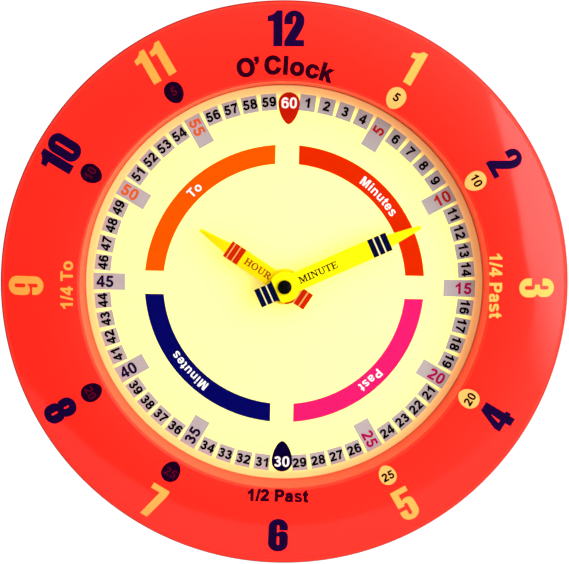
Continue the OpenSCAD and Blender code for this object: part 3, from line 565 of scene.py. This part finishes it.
# ---------------------------------------------------------------- rim, lens and cap
LIP = 1.3
lip_r = OPEN_TOP_R + LIP
lip_f = CROWN_F + math.sqrt((CROWN - LIP) ** 2 - (lip_r - CREST_R) ** 2)
a_in = math.degrees(math.atan2(lip_f - CROWN_F, lip_r - CREST_R))
inner = CROWN - WALL
a_un = math.degrees(math.acos((OPEN_R + 3.8 - CREST_R) / inner))
a_side = math.degrees(math.acos((147.0 - CREST_R) / inner))
profile = arc(148.2, 0.6, 0.6, 0.6, 270, 358, 4)
profile += [(149.18, 10.7), (149.56, 21.4)]
edge_from = len(profile)
profile += arc(EDGE_R, EDGE_F, EDGE, EDGE, 0, TANGENT, 10)
profile += arc(CREST_R, CROWN_F, CROWN, CROWN, TANGENT, a_in, 40)[1:]
wall_from = len(profile)
profile += arc(lip_r, lip_f, LIP, LIP, a_in, 180, 10)[1:]
profile += [(OPEN_TOP_R, SEAT_F + LENS_T + 0.1), (LENS_R + 0.2, SEAT_F + LENS_T + 0.1), (LENS_R + 0.2, SEAT_F)]
profile += [(OPEN_TOP_R + (OPEN_R - OPEN_TOP_R) * t, SEAT_F + (PLATE_F - SEAT_F) * t) for t in (0, 0.25, 0.5, 0.75)]
profile += [(OPEN_R, PLATE_F + 0.15), (OPEN_R + 0.15, PLATE_F), (OPEN_R + 3.8, PLATE_F)]
wall_to = len(profile)
profile += arc(CREST_R, CROWN_F, inner, inner, a_un, a_side, 24)
profile += [(147.35, 32.9), (147.44, 32.4), (146.9, 17.0), (146.35, 0.5), (146.8, 0.0)]
bm = bmesh.new()
# Material slots: 0 gloss red, 1 darker red with painted shade on the outer edge, 2 inner wall with painted glow, 3
# rougher red on the turns.
revolve(bm, profile, 360, about_y, [1 if 0 <= k - edge_from < 8 else 3 if 8 <= k - edge_from < 11 or wall_from - 1 <= k < wall_from + 9 else 2 if wall_from + 9 <= k < wall_to else 0 for k in range(len(profile))])
for i in range(6):
    bx, bz = 138 * math.cos(math.radians(30 + 60 * i)), 138 * math.sin(math.radians(30 + 60 * i))
    revolve(bm, [(1.45, 22.0), (3.7, 22.0), (4.0, 22.3), (4.0, 35.5), (1.45, 35.5)], 32, lambda c, s, r, h, bx=bx, bz=bz: world(bx + r * c, bz + r * s, h))
rim = new_object("rim_shell", mesh_from(bm, "rim_shell"), "case", [RED, RED_EDGE_SHADE, RED_WALL_GLOW, RED_SOFT])
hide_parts("front_rim")

bm = bmesh.new()
revolve(bm, [(0, SEAT_F + 0.02), (LENS_R - 0.2, SEAT_F + 0.02), (LENS_R, SEAT_F + 0.22), (LENS_R, SEAT_F + LENS_T - 0.2), (LENS_R - 0.2, SEAT_F + LENS_T), (0, SEAT_F + LENS_T)], 240, about_y)
lens = new_object("lens_disc", mesh_from(bm, "lens_disc", 20), "case", CLEAR)
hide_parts("clear_lens")

cap_f = MINUTE_F + HAND_T
dome = [(8.8 * math.sin(math.radians(a)), cap_f - 6.8 + 8.8 * math.cos(math.radians(a))) for a in (21, 18, 15, 12, 9, 6, 3)]
bm = bmesh.new()
revolve(bm, [(0, 33.2), (1.77, 33.2), (1.77, cap_f), (3.55, cap_f), (3.7, cap_f + 0.15)] + arc(3.4, cap_f + 1.05, 0.3, 0.3, 0, 69, 5) + dome + [(0, cap_f + 2.0)], 64, about_y)
cap = new_object("cap_dome", mesh_from(bm, "cap_dome"), "minute", BLACK_GLOSS)
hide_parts("hand_cap")


# ---------------------------------------------------------------- hands
def hand(name, node, body, hub, half, band, tip_half, tip_r, tail, length, hole, f, angle, mat):
    shapes = [("+", arc(0, 0, hub, hub, 0, 360 - 360 / 72, 71)), ("+", rect(-half, -tail, half, band)),
              ("+", [(-tip_half, band - 0.5), (tip_half, band - 0.5), (tip_half, band)] + arc(0, length - tip_r, tip_r, tip_r, 6, 174, 12) + [(-tip_half, band)]),
              ("-", arc(0, 0, hole, hole, 0, 360 - 360 / 48, 47))]
    c, s = math.cos(math.radians(angle)), math.sin(math.radians(angle))
    bm = bmesh.new()
    slab(bm, shapes, f, f + HAND_T, 0.12, lambda x, y: (x * c + y * s, -x * s + y * c))
    ob = new_object(name, mesh_from(bm, name, 50), body, mat)
    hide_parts(node)
    return ob


hand("hour_blade", "hour_hand", "hour", 9.6, 4.85, 36.4, 3.2, 1.0, 15.3, 54.2, 2.52, HOUR_F, HOUR_A, YELLOW_HOUR_SHADED)
hand("minute_blade", "minute_hand", "minute", 8.2, 5.2, 60.5, 3.25, 1.1, 15.5, 79.0, 1.77, MINUTE_F, MINUTE_A, YELLOW_M)


def on_hand(shapes, angle):
    return moved(shapes, 0, 0, math.cos(math.radians(angle)), -math.sin(math.radians(angle)))


def flat(f):
    return lambda x, z: f


for body, angle, f, half, hub, blocks, ink in (("minute", MINUTE_A, MINUTE_F + HAND_T, 5.08, 8.05, (((49.8, 52.75), (53.6, 56.35), (57.15, 60.42)), ((-15.42, -12.5), (-11.75, -9.05), (-8.3, -5.1))), "stripe_navy"),
                                              ("hour", HOUR_A, HOUR_F + HAND_T, 4.73, 9.45, (((27.65, 30.6), (31.25, 34.0), (34.65, 36.32)), ((-15.22, -12.55), (-11.8, -9.05), (-8.3, -5.2))), "stripe_red")):
    for block in blocks:
        lay((body, "stripe_cream" if body == "minute" else "stripe_amber"), on_hand([("+", rect(-half, block[0][0] + 0.1, half, block[-1][1] - 0.1))], angle), flat(f), -0.02, 0.03)
        for y0, y1 in block:
            wide = [max(half, math.sqrt(max(0.0, hub ** 2 - y ** 2))) if y1 < 0 else half for y in (y0, (y0 + y1) / 2, y1)]
            band = [(wide[0], y0), (wide[1], (y0 + y1) / 2), (wide[2], y1)]
            lay((body, ink), on_hand([("+", band + [(-x, y) for x, y in band[::-1]])], angle), flat(f), 0.0, 0.06)
for text, size, at, ink, body, angle, f, flip in (("MINUTE", 5.4, 19.4, "black", "minute", MINUTE_A, MINUTE_F + HAND_T, 1), ("HOUR", 5.3, 17.1, "brown", "hour", HOUR_A, HOUR_F + HAND_T, -1)):
    ux, uy = (0, 1) if flip > 0 else (0, -1)
    for sh in straight(text, SERIF, size, 0, at, ux, uy, 0.331 * size, 40 if flip > 0 else 60, 26 if flip > 0 else 24):
        lay((body, ink), on_hand(sh, angle), flat(f), -0.02, 0.03)

# ---------------------------------------------------------------- print on the dial
DIAL_S = flat(DIAL_F)


def frame_at(r, a, up):
    """Origin and right-hand direction for print at radius r and angle a whose tops point outward, inward, or across."""
    ox, oz = polar(r, a)
    s, c = math.sin(math.radians(a)), math.cos(math.radians(a))
    if up == "out":
        return ox, oz, c, -s
    if up == "in":
        return ox, oz, -c, s
    if up == "read_out":
        return ox, oz, s, c
    return ox, oz, -s, -c


NUMBER_COLOUR = {5: "red", 10: "red", 15: "magenta", 20: "magenta", 25: "magenta", 35: "navy", 40: "navy", 45: "navy", 50: "orange_number", 55: "orange_number"}
for m in range(1, 60):
    a = 6.0 * m
    if m == 30:
        continue
    if m % 5:
        lay(("case", "grey"), moved([("+", rect(-4.2, -4.4, 4.2, 4.4))], *frame_at(97.7, a, "out")), DIAL_S, -0.02, 0.03)
        for sh in straight(str(m), SANS, 6.9, *frame_at(97.8, a, "in" if 20 < m < 40 else "out"), 0.355 * 6.9, 22, 20):
            lay(("case", "black"), sh, DIAL_S, 0.0, 0.06)
    else:
        lay(("case", "grey"), moved([("+", rect(-4.53, -8.5, 4.53, 8.5))], *frame_at(93.9, a, "out")), DIAL_S, -0.02, 0.03)
        for sh in straight(str(m), SANS, 8.4, *frame_at(96.2, a, "read_out" if m < 30 else "read_in"), 0.355 * 8.4, 14, 14):
            lay(("case", NUMBER_COLOUR[m]), sh, DIAL_S, 0.0, 0.06)


def drop(width, tall, share, full):
    """Drop with its point down and its round end centred on the origin. share and full set how blunt it is."""
    r = width / 2
    low = -(tall - r)
    side = []
    for i in range(17):
        t = i / 16
        b0, b1, b2, b3 = (1 - t) ** 3, 3 * t * (1 - t) ** 2, 3 * t * t * (1 - t), t ** 3
        side.append((r * b0 + r * b1 + r * share * b2, low * (0.45 * b1 + full * b2 + b3)))
    return [("+", arc(0, 0, r, r, 180, 0, 24)[:-1] + side + [(-x, y) for x, y in side[-2:0:-1]])]


lay(("case", "drop_red"), moved(drop(11.4, 16.9, 0.45, 0.98), *frame_at(97.0, 0.25, "out")), DIAL_S, -0.02, 0.03)
for sh in straight("60", SANS, 7.9, *frame_at(97.1, 0.27, "out"), 0.355 * 7.9, 0, 2):
    lay(("case", "white"), sh, DIAL_S, 0.0, 0.06)
lay(("case", "drop_navy"), moved(drop(11.3, 17.0, 0.45, 0.98), *frame_at(96.8, 179.6, "out")), DIAL_S, -0.02, 0.03)
for sh in straight("30", SANS, 7.9, *frame_at(96.9, 179.65, "in"), 0.355 * 7.9, 0, 2):
    lay(("case", "white"), sh, DIAL_S, 0.0, 0.06)

ARC_IN, ARC_OUT, GAP = 64.9, 75.05, 6.2
for quarter, ink, text, at in ((0, "arc_red", "Minutes", 45.5), (1, "arc_pink", "Past", 137.0), (2, "arc_navy", "Minutes", 226.5), (3, "arc_orange", "To", 315.5)):
    go, gi = math.degrees(math.asin(GAP / ARC_OUT)), math.degrees(math.asin(GAP / ARC_IN))
    pts = [polar(ARC_OUT, 90 * quarter + go + (90 - 2 * go) * i / 48) for i in range(49)]
    pts += [polar(ARC_IN, 90 * quarter + 90 - gi - (90 - 2 * gi) * i / 48) for i in range(49)]
    lay(("case", ink), [("+", pts)], DIAL_S, -0.02, 0.03)
    size, base = 6.6, 67.6
    for c, sh in line_of(text, SANS, size, 20)[0]:
        lay(("case", "white"), moved(sh, *frame_at(base, at + math.degrees(c / base), "out")), DIAL_S, 0.0, 0.06)

# ---------------------------------------------------------------- print on the rim
GRID = 2.6
HOURS = {1: (133.6, 28.7, "out"), 2: (133.1, 58.9, "out"), 3: (133.0, 88.7, "out"), 4: (132.5, 120.4, "in"), 5: (133.6, 149.7, "in"), 6: (133.8, 180.3, "in"),
         7: (134.8, 210.3, "in"), 8: (136.0, 240.1, "in"), 9: (136.2, 269.5, "out"), 10: (136.5, 299.9, "out"), 11: (135.3, 328.8, "out"), 12: (135.5, 359.1, "out")}
HEAVIER = {2: 0.06, 4: 0.25, 6: 0.38, 8: 0.48, 10: 0.4, 12: 0.22}
# Figures 9 and 11 take the darker copy of the cream ink and 3 the lighter one: painted shade and light.
for h, (r, a, up) in HOURS.items():
    for sh in figure_text(str(h), 1.05, 1.028, HEAVIER.get(h, 0.0)):
        lay(("case", "navy" if h % 2 == 0 else {3: "cream_light", 9: "cream_deep", 11: "cream_deep"}.get(h, "cream")), moved(sh, *frame_at(r, a, up)), rim_front, -0.05, 0.05, GRID)

DROPS = {1: ("5", -2.3, 0.4), 2: ("10", -1.8, 0.6), 4: ("20", -1.2, 0.9), 5: ("25", -0.9, 0.9), 7: ("25", -0.6, 0.6), 8: ("20", -0.9, 0.4), 10: ("10", -1.7, 0.4), 11: ("5", -1.5, 0.9)}
for h, (text, dx, dz) in DROPS.items():
    right = h < 6
    ox, oz, ux, uz = frame_at(116.8, 30 * h, "out")
    lay(("case", "cream_drop" if right else "word_navy"), moved(drop(10.0, 11.9, 0.68, 0.9) if h != 5 else drop(9.2, 10.9, 0.68, 0.9), ox + dx, oz + dz, ux, uz), rim_front, -0.05, 0.05, GRID)
    ox, oz, ux, uz = frame_at(116.6, 30 * h, "in" if h in (4, 5, 7, 8) else "out")
    for sh in straight(text, SANS, 6.2, ox + dx, oz + dz, ux, uz, 0.355 * 6.2, 10, 14 if right else 0):
        lay(("case", "black" if right else "dull_red"), sh, rim_front, 0.02, 0.09, GRID)

WORD_R, WORD_TURN = 90.0, 2.0
mx, mz = polar(112.0, -1.05)
wx, wz = mx - WORD_R * math.sin(math.radians(WORD_TURN)), mz - WORD_R * math.cos(math.radians(WORD_TURN))
for i, (c, sh) in enumerate(line_of("O'Clock", SANS, 12.7, 36, 30)[0]):
    c -= 1.2 if i == 1 else 0
    ox, oz, ux, uz = frame_at(WORD_R, WORD_TURN + math.degrees(c / (WORD_R + 4.5)), "out")
    lay(("case", "word_dark"), moved(sh, wx + ox, wz + oz, ux, uz), rim_front, -0.05, 0.05, GRID)
# 1/4 Past and 1/4 To take the lighter and darker copies of the cream ink: painted light and shade.
for text, size, r, a, up, ink, weight in (("1/2 Past", 8.5, 111.9, 180.6, "in", "word_dark", 38), ("1/4 Past", 9.0, 111.4, 88.2, "out", "cream_light", 14), ("1/4 To", 8.8, 114.8, 269.8, "out", "cream_deep", 10)):
    for sh in straight(text, SANS, size, *frame_at(r, a, up), 0.358 * size, 12 if weight > 30 else 14, weight):
        lay(("case", ink), sh, rim_front, -0.05, 0.05, GRID)

# ---------------------------------------------------------------- marks on the back of the movement
COVER_S = flat(2.6)
KNOB_X = 13.2


def by_knob(r, a):
    return KNOB_X + r * math.cos(math.radians(a)), r * math.sin(math.radians(a))


sweep = [by_knob(10.0, 30 + 4.5 * i) for i in range(25)] + [by_knob(9.1, 138 - 4.5 * i) for i in range(25)]
for sh in ([("+", sweep)], [("+", [by_knob(8.0, 137), by_knob(11.1, 137), by_knob(9.5, 156)])],
           moved([("+", rect(-1.9, -0.4, 1.9, 0.4)), ("+", rect(-0.4, -1.9, 0.4, 1.9))], 23.2, -8.9, 1, 0), moved([("+", rect(-1.9, -0.4, 1.9, 0.4))], -23.2, -8.9, 1, 0)):
    lay(("case", "rear_mark"), sh, COVER_S, -0.05, 0.02)

for (body, ink), (v, f) in inks.items():
    me = bpy.data.meshes.new(f"print_{body}_{ink}")
    me.from_pydata(v, [], f)
    me.validate()
    smooth(me, 40)
    new_object(f"print_{body}_{ink}", me, body, INK[ink])

# ---------------------------------------------------------------- battery
CELL_Z, CELL_F, CELL_R = -20.6, 10.4, 7.25


def about_x(c, s, r, h):
    return world(h, CELL_Z + r * c, CELL_F + r * s)


cell = [(0, -25.25), (5.0, -25.25), (5.2, -25.15)] + [(5.5, -24.95), (6.6, -24.95)] + arc(6.7, -24.7, 0.55, 0.55, 270, 360, 5)
cell += [(CELL_R, -10.0), (CELL_R, 12.4), (CELL_R, 12.41), (CELL_R, 23.6)] + arc(6.7, 23.7, 0.55, 0.55, 0, 90, 5) + [(3.4, 24.25), (3.1, 24.25), (2.75, 24.5), (2.75, 25.0), (2.5, 25.25), (0, 25.25)]
kinds = []
for (r0, h0), (r1, h1) in zip(cell, cell[1:] + cell[:1]):
    x = (h0 + h1) / 2
    kinds.append(2 if (x < -24.8 and r0 < 6.8) or (x > 24.1 and r1 < 6.0) else (1 if x > 12.4 else 0))
bm = bmesh.new()
revolve(bm, cell, 72, about_x, kinds)
battery = new_object("cell_body", mesh_from(bm, "cell_body"), "case", [SLEEVE, SLEEVE_BAND, STEEL])
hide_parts("battery_cell")

# ---------------------------------------------------------------- carried-over parts
FINISH = {"dial_sheet": DIAL, "back_plate": BLACK, "case_screws": STEEL, "movement_case": BLACK, "movement_rear_cover": BLACK, "movement_bridge": WHITE,
          "centre_bush": BRASS, "bush_nut": BRASS, "nut_washer": BRASS, "rubber_washer": RUBBER, "minute_arbor": BRASS, "clutch_spring": STEEL,
          "hour_wheel": WHITE, "motion_wheel": WHITE, "setting_knob": KNOB, "centre_wheel": BRASS, "third_wheel": WHITE, "second_wheel": WHITE,
          "intermediate_wheel": WHITE, "rotor_pinion": WHITE, "rotor_magnet": MAGNET, "stator": STEEL, "coil_core": STEEL, "coil_bobbin": WHITE,
          "coil_winding": COPPER, "circuit_board": BOARD, "control_chip": EPOXY, "crystal_can": STEEL, "positive_contact": STEEL, "negative_contact": STEEL}
for name, mat in FINISH.items():
    ob = nodes[name]
    ob.data.materials.clear()
    ob.data.materials.append(mat)

# ---------------------------------------------------------------- floor, light and camera
bpy.ops.mesh.primitive_plane_add(size=16, location=(0, 0, -3))
floor = bpy.context.active_object
floor.name = "floor"
pale = material("floor_pale", (0.65, 0.65, 0.65), 0.9, spec=0.1, spread=0.005, scale=4, bump=0.0)
floor.data.materials.append(pale)

sky = bpy.data.worlds.new("studio")
scene.world = sky
sky.use_nodes = True
nt = sky.node_tree
bg = nt.nodes["Background"]
tc = nt.nodes.new("ShaderNodeTexCoord")
sep = nt.nodes.new("ShaderNodeSeparateXYZ")
mr = nt.nodes.new("ShaderNodeMapRange")
mr.inputs["From Min"].default_value = -0.35
mr.inputs["From Max"].default_value = 0.35
mix = nt.nodes.new("ShaderNodeMix")
mix.inputs[3].default_value = 1.1
nt.links.new(tc.outputs["Generated"], sep.inputs["Vector"])
nt.links.new(sep.outputs["Y"], mr.inputs["Value"])
nt.links.new(mr.outputs["Result"], mix.inputs[0])


def ramp_of(axis, a, b, lo, hi, kind="LINEAR"):
    """A value that runs from lo to hi while a direction's component runs from a to b."""
    node = nt.nodes.new("ShaderNodeMapRange")
    node.interpolation_type = kind
    for key, value in (("From Min", a), ("From Max", b), ("To Min", lo), ("To Max", hi)):
        node.inputs[key].default_value = value
    nt.links.new(sep.outputs[axis], node.inputs["Value"])
    return node.outputs["Result"]


def combine(kind, one, two):
    node = nt.nodes.new("ShaderNodeMath")
    node.operation = kind
    nt.links.new(one, node.inputs[0])
    nt.links.new(two, node.inputs[1])
    return node.outputs[0]


around = combine("ADD", ramp_of("Y", -1, 1, 0.5, 6.7), combine("ADD", ramp_of("X", -1, 1, -1.1, 1.1), ramp_of("Z", -1, 1, -0.72, 0.72)))
limit = nt.nodes.new("ShaderNodeClamp")
limit.inputs["Max"].default_value = 4.2
nt.links.new(around, limit.inputs["Value"])
nt.links.new(limit.outputs["Result"], mix.inputs[2])
nt.links.new(mix.outputs[0], bg.inputs["Strength"])
bg.inputs["Color"].default_value = (1, 1, 1, 1)


def softbox(name, az, el, dist, turn, corner, x0, x1, y0, y1, radiance):
    """A rectangular light in the plane at az, el (degrees) and dist from the origin, facing it. The rectangle runs x0..x1 by y0..y1 from a corner point in that plane, turned about the corner."""
    data = bpy.data.lights.new(name, "AREA")
    data.shape = "RECTANGLE"
    data.size, data.size_y = x1 - x0, y1 - y0
    data.energy = radiance * math.pi * data.size * data.size_y
    ob = bpy.data.objects.new(name, data)
    scene.collection.objects.link(ob)
    d = Vector((math.sin(math.radians(az)) * math.cos(math.radians(el)), -math.cos(math.radians(az)) * math.cos(math.radians(el)), math.sin(math.radians(el))))
    side = Vector((0, 0, 1)).cross(d).normalized()
    rise = d.cross(side)
    t = math.radians(turn)
    u, v = side * math.cos(t) + rise * math.sin(t), rise * math.cos(t) - side * math.sin(t)
    m = Matrix((u, v, d)).transposed().to_4x4()
    m.translation = d * dist + side * corner[0] + rise * corner[1] + u * (x0 + x1) / 2 + v * (y0 + y1) / 2
    ob.matrix_world = m
    return ob


KEY = (45, 12, 0.8, -30, (-0.40, -0.225))
for x0, x1, y0, y1, radiance in ((0, 0.12, 0, 0.06, 4.8), (0.12, 0.6, -0.07, -0.025, 1.0), (0.12, 0.6, -0.025, 0.02, 2.3), (0.12, 0.6, 0.02, 0.06, 3.6),
                                 (0, 0.12, 0.06, 0.12, 5.8), (0.12, 0.6, 0.06, 0.12, 4.8), (0, 0.6, 0.12, 0.41, 5.8), (0, 0.6, 0.41, 0.98, 6.2)):
    softbox(f"key_{x0:g}_{y0:g}", *KEY, x0, x1, y0, y1, radiance)

L, AZ, EL, ROLL, U0, V0, PPM = 858.0, -0.62, 7.17, 1.22, 284.44, 284.86, 1.8637
a, e, r = map(math.radians, (AZ, EL, ROLL))
back = Vector((math.sin(a) * math.cos(e), -math.cos(a) * math.cos(e), math.sin(e)))
right = Vector((math.cos(a), math.sin(a), 0))
up = back.cross(right)
cx = right * math.cos(r) + up * math.sin(r)
cy = up * math.cos(r) - right * math.sin(r)
cam = bpy.data.objects.new("camera", bpy.data.cameras.new("camera"))
scene.collection.objects.link(cam)
place = (Vector((0, -DIAL_F, 0)) + back * L) * MM
cam.matrix_world = Matrix(((cx.x, cy.x, back.x, place.x), (cx.y, cy.y, back.y, place.y), (cx.z, cy.z, back.z, place.z), (0, 0, 0, 1)))
cam.data.sensor_fit = "HORIZONTAL"
cam.data.sensor_width = 36
cam.data.lens = PPM * L * 36 / 569
cam.data.shift_x = (284.5 - U0) / 569
cam.data.shift_y = (V0 - 282.0) / 569
cam.data.clip_start, cam.data.clip_end = 0.02, 60
scene.camera = cam
